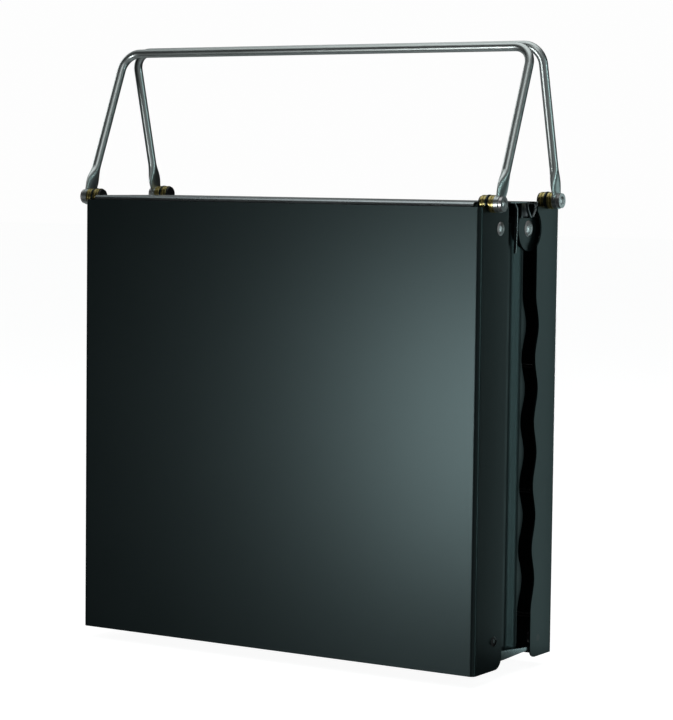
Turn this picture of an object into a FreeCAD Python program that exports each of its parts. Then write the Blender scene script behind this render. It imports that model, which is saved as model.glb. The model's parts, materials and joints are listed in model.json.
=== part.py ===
import FreeCAD, Part
import math
import os

# Folding case barbecue, closed and standing on its hinge edge.
# +X runs along the width of the case, +Y from the near shell to the far shell, +Z up.
# The origin is at the centre of the footprint. All sizes are in millimetres.

os.makedirs("parts", exist_ok=True)
V = FreeCAD.Vector

# ---- driving dimensions ----
CASE_WIDTH = 345.6
CASE_DEPTH = 119.0
CASE_HEIGHT = 330.0
SHEET = 1.2
NEAR_BEND_RADIUS = 3.5
FAR_BEND_RADIUS = 2.4

NEAR_FLANGE_DEPTH = 41.0
FAR_FLANGE_DEPTH = 33.8
NEAR_CORNER_RADIUS = 9.0
FAR_CORNER_RADIUS = 7.3
NEAR_LIP_DEPTH = 20.0
FAR_LIP_DEPTH = 15.0
LIP_END_X = 168.3

WAVE_PITCH = 46.5
WAVE_COUNT = 5
WAVE_TOP_CREST_Z = 243.9
FAR_WAVE_HEIGHT = 2.4
PAN_WAVE_HEIGHT = 3.2

BRACKET_X = (168.8, 171.3)
BRACKET_BOTTOM_Z = 4.6
BRACKET_STRIP_Z = 11.2
BRACKET_FAR_Z = (6.0, 8.2)
SPINE_FLOOR_Y = (-8.5, 23.3)
NEAR_HINGE = (-30.5, 21.0)
FAR_HINGE = (38.0, 13.5)
HINGE_SHANK_R = 2.5
RUNNING_CLEARANCE = 0.05
NUT_GAP = 0.3

NEAR_PIVOT_INSET = 13.3
FAR_PIVOT_INSET = 17.3
NEAR_PIVOT_RISE = 2.2
FAR_PIVOT_RISE = 4.3
PIVOT_EAR_R = 6.5
PIVOT_SHANK_R = 2.5
HANDLE_ROD_R = 3.3
HANDLE_ARM_X = 179.8
HANDLE_CORNER_R = 14.0
HANDLE_EYE_THICKNESS = 3.4
NEAR_HANDLE_LENGTH = 120.6
FAR_HANDLE_LENGTH = 114.5
NEAR_HANDLE_LEAN = 22.6
FAR_HANDLE_LEAN = 14.6

PAN_SHEET = 1.0
PAN_BACK_Y = -52.0
PAN_EDGE_Y = 15.2
PAN_BOTTOM_Z = 7.3
PAN_END_WALL_Z = 284.0
PAN_WALL_X = 163.0
PAN_RIM_X = 167.0
PAN_SWELL_Y = (2.0, 15.0)
PAN_RIM_END_Y = 38.0
PAN_REST_Z = 332.3
PAN_RIM_TOP_Z = 318.0
PAN_RIVET = (-30.2, 314.6)
PAN_RIVET_R = 2.0

EAR_CENTRE = (20.0, 314.0)
EAR_PLATE_CENTRE = (21.0, 314.0)
EAR_R = 16.5
EAR_NOTCH_CENTRE = (16.5, 314.0)
EAR_NOTCH_R = 15.5
EAR_TOP_Z = 321.8
EAR_SHEET = 1.5
EAR_SHANK_R = 2.5

LID_HALF_X = 165.3
LID_SHEET = 0.8
LID_TOP_Z = 333.5
LID_NEAR_Y = -57.6
LID_FAR_Y = 41.4
LID_LUG_X = (164.1, 165.3)
LID_LUG_R = 7.0

GRATE_Y = 55.5
GRATE_FRAME_R = 2.0
GRATE_ROD_R = 1.5
GRATE_HALF_X = 160.0
GRATE_Z = (26.0, 306.0)
GRATE_ROD_PITCH = 15.0

HALF_W = CASE_WIDTH / 2.0
HALF_D = CASE_DEPTH / 2.0
NEAR_EDGE_Y = -HALF_D + NEAR_FLANGE_DEPTH
FAR_EDGE_Y = HALF_D - FAR_FLANGE_DEPTH
NEAR_PIVOT = (-HALF_D + NEAR_PIVOT_INSET, CASE_HEIGHT + NEAR_PIVOT_RISE)
FAR_PIVOT = (HALF_D - FAR_PIVOT_INSET, CASE_HEIGHT + FAR_PIVOT_RISE)


# ---- helpers ----
def save(name, shape):
    shape.exportStep("parts/" + name + ".step")


def save_pair(name, right_shape):
    save(name + "_right", right_shape)
    save(name + "_left", right_shape.mirror(V(0, 0, 0), V(1, 0, 0)))


def block(x, y, z):
    """A box from three (low, high) pairs."""
    return Part.makeBox(x[1] - x[0], y[1] - y[0], z[1] - z[0], V(x[0], y[0], z[0]))


def disc(x, centre, radius):
    """A cylinder along X from x[0] to x[1] about centre = (y, z)."""
    return Part.makeCylinder(radius, x[1] - x[0], V(x[0], centre[0], centre[1]), V(1, 0, 0))


def dome(x, centre, radius):
    """A low spherical cap that stands on the plane x[0] and reaches x[1]."""
    height = x[1] - x[0]
    ball_r = (radius * radius + height * height) / (2.0 * height)
    ball = Part.makeSphere(ball_r, V(x[1] - ball_r, centre[0], centre[1]))
    return ball.common(disc(x, centre, radius))


def prism_x(points, x):
    """A polygon of (y, z) points extruded along X."""
    corners = [V(x[0], y, z) for y, z in points]
    face = Part.Face(Part.makePolygon(corners + corners[:1]))
    return face.extrude(V(x[1] - x[0], 0, 0))


def prism_z(points, z):
    """A polygon of (x, y) points extruded along Z."""
    corners = [V(px, py, z[0]) for px, py in points]
    face = Part.Face(Part.makePolygon(corners + corners[:1]))
    return face.extrude(V(0, 0, z[1] - z[0]))


def arc_points(centre, radius, start_deg, end_deg, steps):
    points = []
    for i in range(steps + 1):
        angle = math.radians(start_deg + (end_deg - start_deg) * i / steps)
        points.append((centre[0] + radius * math.cos(angle), centre[1] + radius * math.sin(angle)))
    return points


def folded_strip(points, thickness, x):
    """A bent strip of sheet: flat runs between the (y, z) points, round at each bend."""
    half = thickness / 2.0
    pieces = []
    for a, b in zip(points[:-1], points[1:]):
        length = math.hypot(b[0] - a[0], b[1] - a[1])
        ny = -(b[1] - a[1]) / length * half
        nz = (b[0] - a[0]) / length * half
        quad = [(a[0] + ny, a[1] + nz), (b[0] + ny, b[1] + nz)]
        quad += [(b[0] - ny, b[1] - nz), (a[0] - ny, a[1] - nz)]
        pieces.append(prism_x(quad, x))
    for corner in points[1:-1]:
        pieces.append(disc(x, corner, half))
    return pieces[0].multiFuse(pieces[1:]).removeSplitter()


def wave_edge(mean_y, height, x):
    """The wavy edge as one smooth curve from its lowest trough to its highest trough."""
    low_z = WAVE_TOP_CREST_Z - WAVE_PITCH * (WAVE_COUNT - 0.5)
    steps = WAVE_COUNT * 8
    points = []
    for i in range(steps + 1):
        z = low_z + WAVE_PITCH * WAVE_COUNT * i / steps
        y = mean_y + height * math.cos(2.0 * math.pi * (z - WAVE_TOP_CREST_Z) / WAVE_PITCH)
        points.append(V(x, y, z))
    curve = Part.BSplineCurve()
    curve.interpolate(points)
    return curve.toShape(), points[0], points[-1]


def side_blank(outer_y, edge_y, bottom_z, top_z, corner_r, wave_height, inward):
    """A solid as wide as the case with a shell's side outline. The outline runs from outer_y to
    edge_y, with a rounded lower corner and, where wave_height isn't 0, a wavy edge. inward is +1
    where the edge faces +Y and -1 where it faces -Y."""
    x = -HALF_W - 1.0
    corner = V(x, edge_y - inward * corner_r, bottom_z)
    middle_y = edge_y - inward * corner_r * (1.0 - math.sqrt(0.5))
    middle = V(x, middle_y, bottom_z + corner_r * (1.0 - math.sqrt(0.5)))
    arc_end = V(x, edge_y, bottom_z + corner_r)
    top_edge = V(x, edge_y, top_z)
    top_outer = V(x, outer_y, top_z)
    bottom_outer = V(x, outer_y, bottom_z)
    edges = [Part.makeLine(bottom_outer, corner), Part.Arc(corner, middle, arc_end).toShape()]
    if wave_height:
        # both wavy edges swing towards +Y at their crests, so the two follow each other
        mean_y = edge_y + wave_height
        wave, low, high = wave_edge(mean_y, wave_height, x)
        edges += [Part.makeLine(arc_end, low), wave, Part.makeLine(high, top_edge)]
    else:
        edges.append(Part.makeLine(arc_end, top_edge))
    edges += [Part.makeLine(top_edge, top_outer), Part.makeLine(top_outer, bottom_outer)]
    face = Part.Face(Part.Wire(edges))
    return face.extrude(V(2.0 * HALF_W + 2.0, 0, 0))


def shell_channel(outer_y, reach_y, bend_radius):
    """The panel and both side flanges as a bent channel of sheet, open towards reach_y."""
    sign = 1.0 if reach_y > outer_y else -1.0
    height = FAR_PIVOT[1] + PIVOT_EAR_R

    def outline(half_x, y, radius):
        start = V(-half_x, reach_y, 0)
        corner_low = V(-half_x, y + sign * radius, 0)
        corner_mid = V(-half_x + radius * (1 - math.sqrt(0.5)), y + sign * radius * (1 - math.sqrt(0.5)), 0)
        corner_high = V(-half_x + radius, y, 0)
        mirror = [V(-p.x, p.y, p.z) for p in (start, corner_low, corner_mid, corner_high)]
        edges = [Part.makeLine(start, corner_low)]
        edges.append(Part.Arc(corner_low, corner_mid, corner_high).toShape())
        edges.append(Part.makeLine(corner_high, mirror[3]))
        edges.append(Part.Arc(mirror[3], mirror[2], mirror[1]).toShape())
        edges.append(Part.makeLine(mirror[1], mirror[0]))
        edges.append(Part.makeLine(mirror[0], start))
        return Part.Face(Part.Wire(edges)).extrude(V(0, 0, height))

    outer = outline(HALF_W, outer_y, bend_radius)
    inner = outline(HALF_W - SHEET, outer_y + sign * SHEET, bend_radius - SHEET)
    return outer.cut(inner)


def pivot_ear(pivot):
    return disc((-HALF_W - 1.0, HALF_W + 1.0), pivot, PIVOT_EAR_R)


def through_hole(centre, radius):
    """A round cutter along X that passes every piece at both ends of the case."""
    return disc((-HALF_W - 20.0, HALF_W + 20.0), centre, radius)


# ---- spine: the stainless hinge unit between the two shells ----
def make_spine():
    # the strip narrows from the near hinge to the far one
    low = [(NEAR_HINGE[0], BRACKET_BOTTOM_Z), (-12.0, BRACKET_BOTTOM_Z)]
    low += [(28.0, BRACKET_FAR_Z[0]), (FAR_HINGE[0], BRACKET_FAR_Z[0])]
    high = [(FAR_HINGE[0], BRACKET_FAR_Z[1]), (28.0, BRACKET_FAR_Z[1])]
    high += [(-12.0, BRACKET_STRIP_Z), (NEAR_HINGE[0], BRACKET_STRIP_Z)]
    plate = prism_x(low + high, BRACKET_X)
    near_lug = disc(BRACKET_X, NEAR_HINGE, 7.0)
    near_web_y = (NEAR_HINGE[0] - 7.0, NEAR_HINGE[0] + 7.0)
    near_web = block(BRACKET_X, near_web_y, (BRACKET_BOTTOM_Z, NEAR_HINGE[1]))
    far_lug = disc(BRACKET_X, FAR_HINGE, 6.0)
    far_web = block(BRACKET_X, (FAR_HINGE[0] - 6.0, FAR_HINGE[0] + 6.0), (BRACKET_FAR_Z[0], FAR_HINGE[1]))
    bracket = plate.multiFuse([near_lug, near_web, far_lug, far_web]).removeSplitter()
    for hinge in (NEAR_HINGE, FAR_HINGE):
        bracket = bracket.cut(through_hole(hinge, HINGE_SHANK_R + RUNNING_CLEARANCE))
    save_pair("hinge_bracket", bracket)

    floor_z = (BRACKET_BOTTOM_Z, BRACKET_BOTTOM_Z + SHEET)
    floor = block((-BRACKET_X[0], BRACKET_X[0]), SPINE_FLOOR_Y, floor_z)
    stiffener_y = (SPINE_FLOOR_Y[0] + SPINE_FLOOR_Y[1]) / 2.0
    bead = Part.makeCylinder(1.0, 300.0, V(-150.0, stiffener_y, BRACKET_BOTTOM_Z + SHEET), V(1, 0, 0))
    above_floor = block((-151.0, 151.0), SPINE_FLOOR_Y, (BRACKET_BOTTOM_Z + SHEET, 9.0))
    save("spine_floor", floor.fuse(bead.common(above_floor)).removeSplitter())


# ---- shells ----
def make_near_shell():
    channel = shell_channel(-HALF_D, NEAR_EDGE_Y + 1.0, NEAR_BEND_RADIUS)
    blank = side_blank(-HALF_D, NEAR_EDGE_Y, 0.0, CASE_HEIGHT, NEAR_CORNER_RADIUS, 0.0, 1.0)
    shell = channel.common(blank.fuse(pivot_ear(NEAR_PIVOT)))
    lip = block((-LIP_END_X, LIP_END_X), (-HALF_D + SHEET, -HALF_D + NEAR_LIP_DEPTH), (0.0, SHEET))
    shell = shell.fuse(lip).removeSplitter()
    shell = shell.cut(through_hole(NEAR_PIVOT, PIVOT_SHANK_R))
    shell = shell.cut(through_hole(NEAR_HINGE, HINGE_SHANK_R))
    shell = shell.cut(through_hole(PAN_RIVET, PAN_RIVET_R))
    save("near_shell", shell)


def make_far_shell():
    channel = shell_channel(HALF_D, FAR_EDGE_Y - 1.0, FAR_BEND_RADIUS)
    blank = side_blank(HALF_D, FAR_EDGE_Y, 0.0, CASE_HEIGHT, FAR_CORNER_RADIUS, FAR_WAVE_HEIGHT, -1.0)
    shell = channel.common(blank.fuse(pivot_ear(FAR_PIVOT)))
    # a round notch leaves room for the pan's ear
    shell = shell.cut(through_hole(EAR_NOTCH_CENTRE, EAR_NOTCH_R))
    lip = block((-LIP_END_X, LIP_END_X), (HALF_D - FAR_LIP_DEPTH, HALF_D - SHEET), (0.0, SHEET))
    shell = shell.fuse(lip).removeSplitter()
    shell = shell.cut(through_hole(FAR_PIVOT, PIVOT_SHANK_R))
    shell = shell.cut(through_hole(FAR_HINGE, HINGE_SHANK_R))
    save("far_shell", shell)


# ---- hinge screws and rivets; each turns in its bracket with the shell ----
def make_hinge_fasteners():
    shank_x = (PAN_WALL_X, HALF_W)
    nut_x = (PAN_WALL_X, BRACKET_X[0] - NUT_GAP)
    screw = dome((HALF_W, HALF_W + 1.8), NEAR_HINGE, 3.8)
    screw = screw.fuse(disc(shank_x, NEAR_HINGE, HINGE_SHANK_R)).fuse(disc(nut_x, NEAR_HINGE, 4.2))
    screw = screw.removeSplitter()
    socket = prism_x(arc_points(NEAR_HINGE, 1.7, 0.0, 300.0, 5), (HALF_W + 0.6, HALF_W + 3.0))
    save_pair("near_hinge_screw", screw.cut(socket))

    # the far hinge rivets are flush with the flange
    rivet = disc((165.5, HALF_W), FAR_HINGE, HINGE_SHANK_R)
    rivet = rivet.fuse(disc((165.5, BRACKET_X[0] - NUT_GAP), FAR_HINGE, 4.2))
    save_pair("far_hinge_rivet", rivet.removeSplitter())


# ---- fire pan, fixed inside the near shell ----
def pan_prism(inset, back_y, front_y, z):
    """The pan's cross section moved inwards by inset. Its side walls swell out in a smooth curve."""
    right = [(PAN_WALL_X - inset, back_y)]
    steps = 10
    for i in range(steps + 1):
        swell = (PAN_RIM_X - PAN_WALL_X) * (1.0 - math.cos(math.pi * i / steps)) / 2.0
        y = PAN_SWELL_Y[0] + (PAN_SWELL_Y[1] - PAN_SWELL_Y[0]) * i / steps
        right.append((PAN_WALL_X + swell - inset, y))
    right.append((PAN_RIM_X - inset, front_y))
    left = [(-px, py) for px, py in reversed(right)]
    return prism_z(right + left, z)


def pan_hollow(z):
    """The space inside the pan's sheet, open towards +Y."""
    return pan_prism(PAN_SHEET, PAN_BACK_Y + PAN_SHEET, PAN_RIM_END_Y + 1.0, z)


def make_fire_pan():
    section = pan_prism(0.0, PAN_BACK_Y, PAN_RIM_END_Y, (PAN_BOTTOM_Z, PAN_REST_Z))
    section = section.cut(pan_hollow((PAN_BOTTOM_Z + PAN_SHEET, PAN_END_WALL_Z)))
    section = section.cut(pan_hollow((PAN_END_WALL_Z + PAN_SHEET, PAN_REST_Z + 1.0)))
    blank = side_blank(PAN_BACK_Y, PAN_EDGE_Y, PAN_BOTTOM_Z, PAN_REST_Z, 6.0, PAN_WAVE_HEIGHT, 1.0)
    # above the rim the side walls step back so that only their rear part carries the lid
    above = PAN_REST_Z + 1.0
    step = [(-14.0, above), (-4.0, PAN_RIM_TOP_Z), (30.0, PAN_RIM_TOP_Z), (30.0, above)]
    blank = blank.cut(prism_x(step, (-HALF_W - 2.0, HALF_W + 2.0)))
    ear = disc((-HALF_W - 1.0, HALF_W + 1.0), EAR_PLATE_CENTRE, EAR_R - 2.0)
    low_ear = ear.common(block((-HALF_W, HALF_W), (0.0, 40.0), (290.0, EAR_TOP_Z - 0.5)))
    pan = section.common(blank.fuse(low_ear)).removeSplitter()
    for row_z in (70.0, 225.0):
        for i in range(6):
            x = -125.0 + 50.0 * i
            slot_y = (PAN_BACK_Y - 1.0, PAN_BACK_Y + 2.0)
            pan = pan.cut(block((x - 15.0, x + 15.0), slot_y, (row_z - 2.5, row_z + 2.5)))
    pan = pan.cut(through_hole(EAR_CENTRE, EAR_SHANK_R))
    pan = pan.cut(through_hole(PAN_RIVET, PAN_RIVET_R))
    save("fire_pan", pan)


def make_pan_fittings():
    spacer = disc((PAN_WALL_X, HALF_W - SHEET), PAN_RIVET, 4.5)
    save_pair("pan_spacer", spacer.cut(through_hole(PAN_RIVET, PAN_RIVET_R)))

    rivet = dome((HALF_W, HALF_W + 2.0), PAN_RIVET, 5.0)
    rivet = rivet.fuse(disc((PAN_WALL_X - 2.2, HALF_W), PAN_RIVET, PAN_RIVET_R))
    rivet = rivet.fuse(disc((PAN_WALL_X - 2.2, PAN_WALL_X - PAN_SHEET), PAN_RIVET, 3.8))
    save_pair("pan_rivet", rivet.removeSplitter())

    ear_x = (PAN_RIM_X, PAN_RIM_X + EAR_SHEET)
    ear = disc(ear_x, EAR_PLATE_CENTRE, EAR_R)
    ear = ear.common(block(ear_x, (0.0, 40.0), (290.0, EAR_TOP_Z)))
    save_pair("pan_ear", ear.cut(through_hole(EAR_CENTRE, EAR_SHANK_R)))

    head = dome((ear_x[1], ear_x[1] + 2.3), EAR_CENTRE, 6.0)
    tail_x = (162.2, 163.8)
    shank = disc((tail_x[0], ear_x[1]), EAR_CENTRE, EAR_SHANK_R)
    rivet = head.multiFuse([shank, disc(tail_x, EAR_CENTRE, 4.0)])
    save_pair("ear_rivet", rivet.removeSplitter())


def make_lid_clip():
    """A folded stainless clip at each end: a flat top run, a V that sits on the ear, and a leg."""
    x = (PAN_RIM_X, PAN_RIM_X + 2.2)
    top = LID_TOP_Z - 0.5
    low = EAR_TOP_Z + 0.5
    run = [(-8.5, top), (17.2, top), (18.6, 327.4), (22.9, low)]
    run += [(26.8, low), (31.0, 327.4), (32.2, top), (34.5, top)]
    leg = [(-2.8, top), (1.6, 328.5), (1.8, 318.0), (0.2, 296.5)]
    clip = folded_strip(run, 1.0, x).fuse(folded_strip(leg, 0.9, x))
    save_pair("lid_clip", clip.removeSplitter())


# ---- lid ----
def make_lid():
    x = (-LID_HALF_X, LID_HALF_X)
    half = LID_SHEET / 2.0
    bend = 3.0
    near = LID_NEAR_Y + half
    far = LID_FAR_Y - half
    top = LID_TOP_Z - half
    points = [(near, 325.0)]
    points += arc_points((near + bend, top - bend), bend, 180.0, 90.0, 5)
    points += arc_points((far - bend, top - bend), bend, 90.0, 0.0, 5)
    points.append((far, 322.0))
    save("lid_cover", folded_strip(points, LID_SHEET, x))

    under = LID_TOP_Z - LID_SHEET
    rib = folded_strip([(-34.0, under - 0.4), (-22.0, under - 0.4), (-22.0, 323.0)], 0.8, (-158.0, 158.0))
    save("lid_rib", rib)

    # the lug stays small enough to clear the pan's swollen side wall
    lug = disc(LID_LUG_X, EAR_CENTRE, LID_LUG_R)
    lug = lug.fuse(block(LID_LUG_X, (EAR_CENTRE[0] - 5.0, EAR_CENTRE[0] + 5.0), (EAR_CENTRE[1], under)))
    lug = lug.removeSplitter().cut(through_hole(EAR_CENTRE, EAR_SHANK_R + RUNNING_CLEARANCE))
    save_pair("lid_lug", lug)


# ---- handle pivots: rivet, two grooved brass bushes, collar and lock disc on each flange ear ----
COLLAR_X = (172.8, 173.8)
OUTER_BUSH_X = (173.8, 177.9)
INNER_BUSH_X = (167.2, 171.6)
LOCK_DISC_X = (165.8, 167.2)
HEAD_X = (181.7, 184.8)
BUSH_R = 6.2
COLLAR_R = 5.6
RIVET_TAIL_X = 166.4
HEAD_R = 5.4


def grooved_bush(x, centre):
    """A brass bush with a shallow groove around its middle."""
    mid = (x[0] + x[1]) / 2.0
    groove_x = (mid - 0.2, mid + 0.2)
    groove = disc(groove_x, centre, BUSH_R + 1.0).cut(disc(groove_x, centre, BUSH_R - 0.7))
    return disc(x, centre, BUSH_R).cut(groove).cut(through_hole(centre, PIVOT_SHANK_R + 0.1))


def make_pivots(shell_name, centre):
    collar = disc(COLLAR_X, centre, COLLAR_R).cut(through_hole(centre, PIVOT_SHANK_R + 0.1))
    shank_pocket = disc((RIVET_TAIL_X, LOCK_DISC_X[1] + 1.0), centre, PIVOT_SHANK_R)
    lock_disc = disc(LOCK_DISC_X, centre, COLLAR_R).cut(shank_pocket)
    head = dome(HEAD_X, centre, HEAD_R).fuse(disc((HEAD_X[0], HEAD_X[0] + 2.2), centre, HEAD_R))
    rivet = head.fuse(disc((RIVET_TAIL_X, HEAD_X[0]), centre, PIVOT_SHANK_R)).removeSplitter()
    save_pair(shell_name + "_outer_bush", grooved_bush(OUTER_BUSH_X, centre))
    save_pair(shell_name + "_pivot_collar", collar)
    save_pair(shell_name + "_inner_bush", grooved_bush(INNER_BUSH_X, centre))
    save_pair(shell_name + "_lock_disc", lock_disc)
    save_pair(shell_name + "_pivot_rivet", rivet)


# ---- handles ----
EYE_R = 6.2
ROD_START = 25.0


def paddle_end(mid_x):
    """The flattened end of a bail: oval sections that turn from a flat blade into round rod."""
    blend = HANDLE_ROD_R - 0.05
    sections = [(2.0, 1.62, 5.9), (9.0, 1.7, 7.0), (14.0, 2.3, 6.8), (19.5, 3.0, 4.9)]
    sections += [(ROD_START, blend, blend + 0.02), (ROD_START + 2.5, blend, blend + 0.02)]
    wires = []
    for z, half_x, half_y in sections:
        centre = V(mid_x, 0, z)
        oval = Part.Ellipse(centre + V(0, half_y, 0), centre + V(half_x, 0, 0), centre)
        wires.append(Part.Wire(oval.toShape()))
    return Part.makeLoft(wires, True, False)


def make_handle(name, length, pivot, lean_deg):
    """A wire bail, built upright about its pivot line and then leaned and set in place."""
    x = HANDLE_ARM_X
    r = HANDLE_CORNER_R
    start = V(-x, 0, ROD_START)
    bend_low = V(-x, 0, length - r)
    bend_mid = V(-x + r * (1 - math.sqrt(0.5)), 0, length - r * (1 - math.sqrt(0.5)))
    bend_high = V(-x + r, 0, length)
    edges = [Part.makeLine(start, bend_low), Part.Arc(bend_low, bend_mid, bend_high).toShape()]
    edges.append(Part.makeLine(bend_high, V(x - r, 0, length)))
    edges.append(Part.Arc(V(x - r, 0, length), V(-bend_mid.x, 0, bend_mid.z), V(x, 0, length - r)).toShape())
    edges.append(Part.makeLine(V(x, 0, length - r), V(x, 0, ROD_START)))
    section = Part.Wire(Part.makeCircle(HANDLE_ROD_R, start, V(0, 0, 1)))
    handle = Part.Wire(edges).makePipeShell([section], True, True)
    for mid in (-x, x):
        eye_x = (mid - HANDLE_EYE_THICKNESS / 2.0, mid + HANDLE_EYE_THICKNESS / 2.0)
        handle = handle.multiFuse([disc(eye_x, (0.0, 0.0), EYE_R), paddle_end(mid)])
    for mid in (-x, x):
        bore_x = (mid - HANDLE_EYE_THICKNESS, mid + HANDLE_EYE_THICKNESS)
        handle = handle.cut(disc(bore_x, (0.0, 0.0), PIVOT_SHANK_R + RUNNING_CLEARANCE))
    handle = handle.removeSplitter()
    handle.rotate(V(0, 0, 0), V(1, 0, 0), lean_deg)
    handle.translate(V(0, pivot[0], pivot[1]))
    save(name, handle)


# ---- cooking grate and its guides in the far shell ----
def rod(a, b, radius):
    return Part.makeCylinder(radius, (b - a).Length, a, b - a)


def make_grate():
    low, high = GRATE_Z
    corners = [V(-GRATE_HALF_X, GRATE_Y, low), V(GRATE_HALF_X, GRATE_Y, low)]
    corners += [V(GRATE_HALF_X, GRATE_Y, high), V(-GRATE_HALF_X, GRATE_Y, high)]
    pieces = []
    for i in range(4):
        pieces.append(rod(corners[i], corners[(i + 1) % 4], GRATE_FRAME_R))
        pieces.append(Part.makeSphere(GRATE_FRAME_R, corners[i]))
    count = int(2 * (GRATE_HALF_X - GRATE_ROD_PITCH) / GRATE_ROD_PITCH) + 1
    first_x = -(count - 1) * GRATE_ROD_PITCH / 2.0
    for i in range(count):
        x = first_x + GRATE_ROD_PITCH * i
        pieces.append(rod(V(x, GRATE_Y, low), V(x, GRATE_Y, high), GRATE_ROD_R))
    for z in (low + 93.0, low + 186.0):
        pieces.append(rod(V(-GRATE_HALF_X, GRATE_Y, z), V(GRATE_HALF_X, GRATE_Y, z), GRATE_ROD_R))
    save("cooking_grate", pieces[0].multiFuse(pieces[1:]).removeSplitter())

    guide = block((157.0, HALF_W - SHEET), (51.8, 52.8), (34.0, 280.0))
    save_pair("grate_guide", guide)
    rest = block((-60.0, 60.0), (52.2, HALF_D - SHEET), (21.0, 23.0))
    save("grate_rest", rest)


make_spine()
make_near_shell()
make_far_shell()
make_hinge_fasteners()
make_fire_pan()
make_pan_fittings()
make_lid_clip()
make_lid()
make_pivots("near", NEAR_PIVOT)
make_pivots("far", FAR_PIVOT)
make_handle("near_handle", NEAR_HANDLE_LENGTH, NEAR_PIVOT, -NEAR_HANDLE_LEAN)
make_handle("far_handle", FAR_HANDLE_LENGTH, FAR_PIVOT, FAR_HANDLE_LEAN)
make_grate()
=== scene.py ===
import json
import math

import bmesh
import bpy
from mathutils import Matrix, Vector


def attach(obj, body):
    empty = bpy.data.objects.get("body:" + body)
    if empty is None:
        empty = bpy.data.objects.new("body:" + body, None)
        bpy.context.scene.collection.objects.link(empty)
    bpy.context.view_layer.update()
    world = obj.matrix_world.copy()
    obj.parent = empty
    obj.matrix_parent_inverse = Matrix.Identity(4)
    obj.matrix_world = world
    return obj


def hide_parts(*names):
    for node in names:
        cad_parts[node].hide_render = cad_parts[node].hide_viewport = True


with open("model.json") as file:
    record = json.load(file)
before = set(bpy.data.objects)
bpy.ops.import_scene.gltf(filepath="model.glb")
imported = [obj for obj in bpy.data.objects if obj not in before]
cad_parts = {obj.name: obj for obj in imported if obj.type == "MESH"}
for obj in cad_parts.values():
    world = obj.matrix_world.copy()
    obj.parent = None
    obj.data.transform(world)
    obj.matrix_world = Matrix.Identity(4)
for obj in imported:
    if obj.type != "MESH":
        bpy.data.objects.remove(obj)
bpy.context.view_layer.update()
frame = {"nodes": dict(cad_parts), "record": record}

record = frame["record"]
nodes = frame["nodes"]
body_of_node = {n: body for body, names in record["behaviour"]["bodies"].items() for n in names}
slot_of_node = {row["node"]: row["material_slot"] for row in record["subparts"]}


# ---- materials ----
class Shader:
    """A principled material with short calls for its texture nodes. Object space is in metres."""

    def __init__(self, name):
        self.material = bpy.data.materials.new(name)
        self.material.use_nodes = True
        self.tree = self.material.node_tree
        self.bsdf = self.tree.nodes["Principled BSDF"]
        self.coords = self.tree.nodes.new("ShaderNodeTexCoord")

    def link(self, a, b):
        self.tree.links.new(a, b)

    def set(self, **values):
        for key, value in values.items():
            self.bsdf.inputs[key.replace("_", " ")].default_value = value

    def noise(self, scale, detail=2.0, rough=0.5, stretch=(1.0, 1.0, 1.0)):
        mapping = self.tree.nodes.new("ShaderNodeMapping")
        mapping.inputs["Scale"].default_value = stretch
        self.link(self.coords.outputs["Object"], mapping.inputs["Vector"])
        node = self.tree.nodes.new("ShaderNodeTexNoise")
        node.inputs["Scale"].default_value = scale
        node.inputs["Detail"].default_value = detail
        node.inputs["Roughness"].default_value = rough
        self.link(mapping.outputs["Vector"], node.inputs["Vector"])
        return node.outputs["Fac"]

    def ramp(self, source, stops):
        node = self.tree.nodes.new("ShaderNodeValToRGB")
        elements = node.color_ramp.elements
        for i, (place, colour) in enumerate(stops):
            element = elements[i] if i < 2 else elements.new(place)
            element.position = place
            element.color = (*colour, 1.0)
        self.link(source, node.inputs["Fac"])
        return node.outputs["Color"]

    def span(self, source, low, high):
        node = self.tree.nodes.new("ShaderNodeMapRange")
        node.inputs["To Min"].default_value = low
        node.inputs["To Max"].default_value = high
        self.link(source, node.inputs["Value"])
        return node.outputs["Result"]

    def bump(self, height, strength, distance, under=None):
        node = self.tree.nodes.new("ShaderNodeBump")
        node.inputs["Strength"].default_value = strength
        node.inputs["Distance"].default_value = distance
        self.link(height, node.inputs["Height"])
        if under is not None:
            self.link(under, node.inputs["Normal"])
        return node.outputs["Normal"]

    def colour(self, output):
        self.link(output, self.bsdf.inputs["Base Color"])

    def roughness(self, output):
        self.link(output, self.bsdf.inputs["Roughness"])

    def normal(self, output):
        self.link(output, self.bsdf.inputs["Normal"])


def black_coat():
    """Satin black powder coat: a fine pebble, slightly cloudy, with a cool sheen."""
    m = Shader("black_coat")
    m.set(IOR=1.5, Specular_Tint=(0.72, 0.98, 1.0, 1.0))
    cloud = m.noise(14.0, 3.0)
    m.colour(m.ramp(cloud, [(0.3, (0.0020, 0.0032, 0.0034)), (0.7, (0.0034, 0.0050, 0.0053))]))
    grain = m.noise(1500.0, 3.0, 0.6)
    m.roughness(m.span(grain, 0.31, 0.40))
    pebble = m.bump(grain, 0.22, 0.00012)
    m.normal(m.bump(m.noise(260.0, 2.0), 0.06, 0.0002, pebble))
    return m.material


def black_hardware():
    """Black oxide on the screws, collars and lock discs."""
    m = Shader("black_hardware")
    m.set(IOR=1.5)
    grain = m.noise(900.0, 3.0)
    m.colour(m.ramp(grain, [(0.35, (0.006, 0.006, 0.007)), (0.7, (0.014, 0.014, 0.015))]))
    m.roughness(m.span(grain, 0.26, 0.42))
    m.normal(m.bump(grain, 0.15, 0.0001))
    return m.material


def black_enamel():
    """Glossy enamel on the cooking grate."""
    m = Shader("black_enamel")
    m.set(IOR=1.5)
    m.colour(m.ramp(m.noise(120.0, 2.0), [(0.3, (0.004, 0.004, 0.004)), (0.7, (0.008, 0.008, 0.008))]))
    m.roughness(m.span(m.noise(60.0, 2.0), 0.18, 0.30))
    m.normal(m.bump(m.noise(400.0, 2.0), 0.05, 0.0001))
    return m.material


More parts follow.
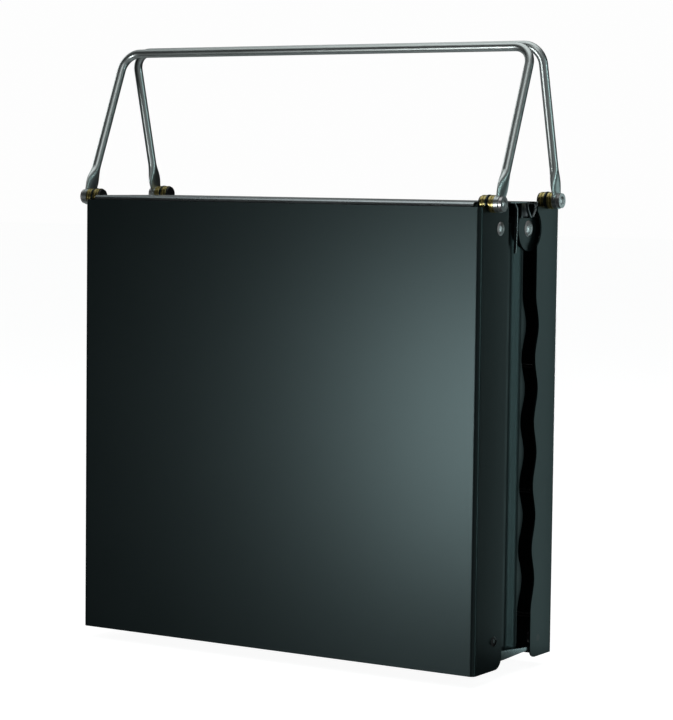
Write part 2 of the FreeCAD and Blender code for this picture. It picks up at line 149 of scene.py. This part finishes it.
def brushed(name, stretch, light, dark, rough_low, rough_high, scratch):
    """Brushed stainless: long fine scratches along the axis that stretch leaves short."""
    m = Shader(name)
    m.set(Metallic=1.0)
    lines = m.noise(900.0, 4.0, 0.7, stretch)
    smudge = m.noise(22.0, 3.0)
    m.colour(m.ramp(lines, [(0.25, dark), (0.75, light)]))
    m.roughness(m.span(smudge, rough_low, rough_high))
    m.normal(m.bump(lines, scratch, 0.00006))
    return m.material


def brass():
    """Slightly stained brass on the bushes."""
    m = Shader("brass")
    m.set(Metallic=1.0)
    stain = m.noise(420.0, 3.0)
    m.colour(m.ramp(stain, [(0.3, (0.30, 0.24, 0.085)), (0.7, (0.56, 0.46, 0.19))]))
    m.roughness(m.span(stain, 0.22, 0.38))
    m.normal(m.bump(m.noise(1400.0, 2.0), 0.1, 0.00005))
    return m.material


ALONG_X = (0.03, 1.0, 1.0)
EVEN = (1.0, 1.0, 1.0)
materials = {
    "black_coat": black_coat(),
    "black_hardware": black_hardware(),
    "black_enamel": black_enamel(),
    "stainless": brushed("stainless", ALONG_X, (0.45, 0.48, 0.49), (0.30, 0.33, 0.34), 0.20, 0.34, 0.12),
    "rivet_steel": brushed("rivet_steel", EVEN, (0.74, 0.70, 0.70), (0.56, 0.53, 0.53), 0.34, 0.44, 0.05),
    "brass": brass(),
}
rod_steel = brushed("rod_steel", EVEN, (0.60, 0.63, 0.62), (0.47, 0.50, 0.49), 0.30, 0.40, 0.02)


# ---- softened copies of the sheet and turned pieces ----
MERGE_DISTANCE = 1e-6
FLAT_ANGLE = math.radians(0.6)
CREASE_ANGLE = math.radians(32)
BEVEL_SEGMENTS = 2
FACE_AREA_WEIGHT = 100


def soften(node, width):
    """A copy of a CAD piece whose crisp edges are rounded, riding on the same body in its place."""
    source = nodes[node]
    mesh = bmesh.new()
    mesh.from_mesh(source.data)
    bmesh.ops.remove_doubles(mesh, verts=mesh.verts, dist=MERGE_DISTANCE)
    bmesh.ops.dissolve_limit(mesh, angle_limit=FLAT_ANGLE, verts=mesh.verts, edges=mesh.edges)
    data = bpy.data.meshes.new("soft_" + node)
    mesh.to_mesh(data)
    mesh.free()
    for face in data.polygons:
        face.use_smooth = True
    piece = bpy.data.objects.new("soft_" + node, data)
    bpy.context.scene.collection.objects.link(piece)
    bevel = piece.modifiers.new("edge", "BEVEL")
    bevel.width = width
    bevel.segments = BEVEL_SEGMENTS
    bevel.limit_method = "ANGLE"
    bevel.angle_limit = CREASE_ANGLE
    even = piece.modifiers.new("even", "WEIGHTED_NORMAL")
    even.weight = FACE_AREA_WEIGHT
    even.keep_sharp = True
    graph = bpy.context.evaluated_depsgraph_get()
    rounded = bpy.data.meshes.new_from_object(piece.evaluated_get(graph), depsgraph=graph)
    piece.modifiers.clear()
    piece.data = rounded
    piece.data.materials.clear()
    piece.data.materials.append(materials[slot_of_node[node]])
    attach(piece, body_of_node[node])
    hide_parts(node)
    return piece


SHEET_EDGE = 0.00025
THICK_EDGE = 0.0003
FINE_EDGE = 0.0002
SOFTENED = {
    "near_shell": SHEET_EDGE,
    "far_shell": SHEET_EDGE,
    "fire_pan": SHEET_EDGE,
    "spine_floor": SHEET_EDGE,
}
PAIRED_EDGES = {
    "pan_ear": THICK_EDGE,
    "lid_clip": FINE_EDGE,
    "hinge_bracket": THICK_EDGE,
    "near_lock_disc": THICK_EDGE,
    "far_lock_disc": THICK_EDGE,
    "near_pivot_collar": FINE_EDGE,
    "far_pivot_collar": FINE_EDGE,
    "near_outer_bush": THICK_EDGE,
    "far_outer_bush": THICK_EDGE,
    "near_inner_bush": THICK_EDGE,
    "far_inner_bush": THICK_EDGE,
}
for side in ("_left", "_right"):
    for stem, width in PAIRED_EDGES.items():
        SOFTENED[stem + side] = width

for node, obj in nodes.items():
    obj.data.materials.clear()
    is_rod = node in ("near_handle", "far_handle")
    obj.data.materials.append(rod_steel if is_rod else materials[slot_of_node[node]])
soft_pieces = {node: soften(node, width) for node, width in SOFTENED.items()}


# ---- stage ----
FLOOR_GLOW = 0.93
# The opened shells lie 8 mm below the edge that the closed case stands on. The floor is just
# below them, so that it doesn't hide them in a pose.
FLOOR_Z = -0.009
FLOOR_HALF = 12.0
DARK_AXIS = (-0.53, -0.85, 0.0)
DARK_FROM = 0.1
DARK_TO = 0.8
ROOM_BRIGHT = 0.24
ROOM_DARK = 0.01
ROOM_TINT = (0.93, 1.0, 1.0, 1.0)
BACKDROP = (0.985, 0.985, 0.985, 1.0)


def make_floor():
    half = FLOOR_HALF
    mesh = bpy.data.meshes.new("floor")
    corners = [(x * half, y * half, FLOOR_Z) for x, y in ((-1, -1), (1, -1), (1, 1), (-1, 1))]
    mesh.from_pydata(corners, [], [(0, 1, 2, 3)])
    floor = bpy.data.objects.new("floor", mesh)
    bpy.context.scene.collection.objects.link(floor)
    m = Shader("floor_paper")
    m.set(Roughness=1.0, Specular_IOR_Level=0.0)
    m.set(Emission_Color=(1.0, 1.0, 1.0, 1.0), Emission_Strength=FLOOR_GLOW)
    m.colour(m.ramp(m.noise(3.0, 2.0), [(0.3, (0.34, 0.34, 0.34)), (0.7, (0.36, 0.36, 0.36))]))
    mesh.materials.append(m.material)
    floor.visible_glossy = False
    floor.visible_diffuse = False


def make_world():
    """Pale backdrop to the eye. For light and reflections, a dim room, darkest in front and behind."""
    world = bpy.data.worlds.new("studio")
    bpy.context.scene.world = world
    world.use_nodes = True
    tree = world.node_tree
    tree.nodes.clear()
    coords = tree.nodes.new("ShaderNodeTexCoord")
    toward = tree.nodes.new("ShaderNodeVectorMath")
    toward.operation = "DOT_PRODUCT"
    toward.inputs[1].default_value = DARK_AXIS
    tree.links.new(coords.outputs["Generated"], toward.inputs[0])
    either_way = tree.nodes.new("ShaderNodeMath")
    either_way.operation = "ABSOLUTE"
    tree.links.new(toward.outputs["Value"], either_way.inputs[0])
    ramp = tree.nodes.new("ShaderNodeMapRange")
    ramp.interpolation_type = "SMOOTHSTEP"
    ramp.inputs["From Min"].default_value = DARK_FROM
    ramp.inputs["From Max"].default_value = DARK_TO
    ramp.inputs["To Min"].default_value = ROOM_BRIGHT
    ramp.inputs["To Max"].default_value = ROOM_DARK
    tree.links.new(either_way.outputs["Value"], ramp.inputs["Value"])
    room = tree.nodes.new("ShaderNodeBackground")
    tree.links.new(ramp.outputs["Result"], room.inputs["Strength"])
    room.inputs["Color"].default_value = ROOM_TINT
    backdrop = tree.nodes.new("ShaderNodeBackground")
    backdrop.inputs["Color"].default_value = BACKDROP
    path = tree.nodes.new("ShaderNodeLightPath")
    mix = tree.nodes.new("ShaderNodeMixShader")
    tree.links.new(path.outputs["Is Camera Ray"], mix.inputs["Fac"])
    tree.links.new(room.outputs["Background"], mix.inputs[1])
    tree.links.new(backdrop.outputs["Background"], mix.inputs[2])
    out = tree.nodes.new("ShaderNodeOutputWorld")
    tree.links.new(mix.outputs["Shader"], out.inputs["Surface"])


NEUTRAL = (0.95, 1.0, 1.0)
COOL = (0.72, 1.0, 1.0)


def soft_box(name, place, target, size, power, colour=NEUTRAL):
    """An area light at place that faces target. size is its width and height, power is in watts."""
    data = bpy.data.lights.new(name, "AREA")
    data.shape = "RECTANGLE"
    data.size, data.size_y = size
    data.energy = power
    data.color = colour
    light = bpy.data.objects.new(name, data)
    light.location = place
    light.rotation_euler = (Vector(target) - Vector(place)).to_track_quat("-Z", "Y").to_euler()
    light.visible_camera = False
    bpy.context.scene.collection.objects.link(light)
    return light


def make_lights():
    soft_box("front_left", (-0.24, -0.90, 0.090), (0.10, 0.0, 0.12), (0.12, 0.26), 2.75)
    soft_box("front_top", (0.75, -1.25, 1.30), (0.0, 0.0, 0.35), (0.9, 0.6), 2.4)
    soft_box("right_side", (1.35, 0.33, 0.15), (0.17, 0.0, 0.17), (0.12, 0.9), 2.3, COOL)
    soft_box("back_right", (0.215, 0.109, 0.165), (0.173, 0.03, 0.165), (0.03, 0.36), 0.027, COOL)
    # this one stands behind the plane of the right flanges and lights the far shell alone, since
    # the handle ends would mirror it towards the camera
    behind = soft_box("behind", (0.13, 0.42, 0.20), (-0.06, 0.06, 0.17), (0.06, 0.20), 0.55)
    far_shell_only = bpy.data.collections.new("far_shell_only")
    far_shell_only.objects.link(soft_pieces["far_shell"])
    behind.light_linking.receiver_collection = far_shell_only
    soft_box("overhead", (0.0, 0.1, 1.9), (0.0, 0.0, 0.0), (2.2, 2.2), 14.0)
    soft_box("left_fill", (-1.5, 0.4, 0.8), (0.0, 0.0, 0.25), (0.8, 0.8), 3.0)


# ---- camera: turned from -Y towards +X, looking slightly down ----
CAMERA_AZIMUTH = math.radians(32.08)
CAMERA_PITCH = math.radians(4.28)
CAMERA_ROLL = math.radians(0.69)
CAMERA_PLACE = (1.0026, -1.5694, 0.3513)
CAMERA_LENS = 123.93
CLIP_NEAR = 0.05
CLIP_FAR = 60.0


def make_camera():
    data = bpy.data.cameras.new("camera")
    data.lens = CAMERA_LENS
    data.clip_start = CLIP_NEAR
    data.clip_end = CLIP_FAR
    camera = bpy.data.objects.new("camera", data)
    bpy.context.scene.collection.objects.link(camera)
    level = math.cos(CAMERA_PITCH)
    sideways = math.sin(CAMERA_AZIMUTH) * level
    nearer = -math.cos(CAMERA_AZIMUTH) * level
    back = Vector((sideways, nearer, math.sin(CAMERA_PITCH)))
    right = Vector((math.cos(CAMERA_AZIMUTH), math.sin(CAMERA_AZIMUTH), 0.0))
    up = back.cross(right)
    x_axis = math.cos(CAMERA_ROLL) * right + math.sin(CAMERA_ROLL) * up
    y_axis = -math.sin(CAMERA_ROLL) * right + math.cos(CAMERA_ROLL) * up
    turn = Matrix((x_axis, y_axis, back)).transposed().to_4x4()
    camera.matrix_world = Matrix.Translation(CAMERA_PLACE) @ turn
    bpy.context.scene.camera = camera


make_floor()
make_world()
make_lights()
make_camera()
bpy.context.scene.view_settings.view_transform = "Standard"
bpy.context.scene.view_settings.look = "None"
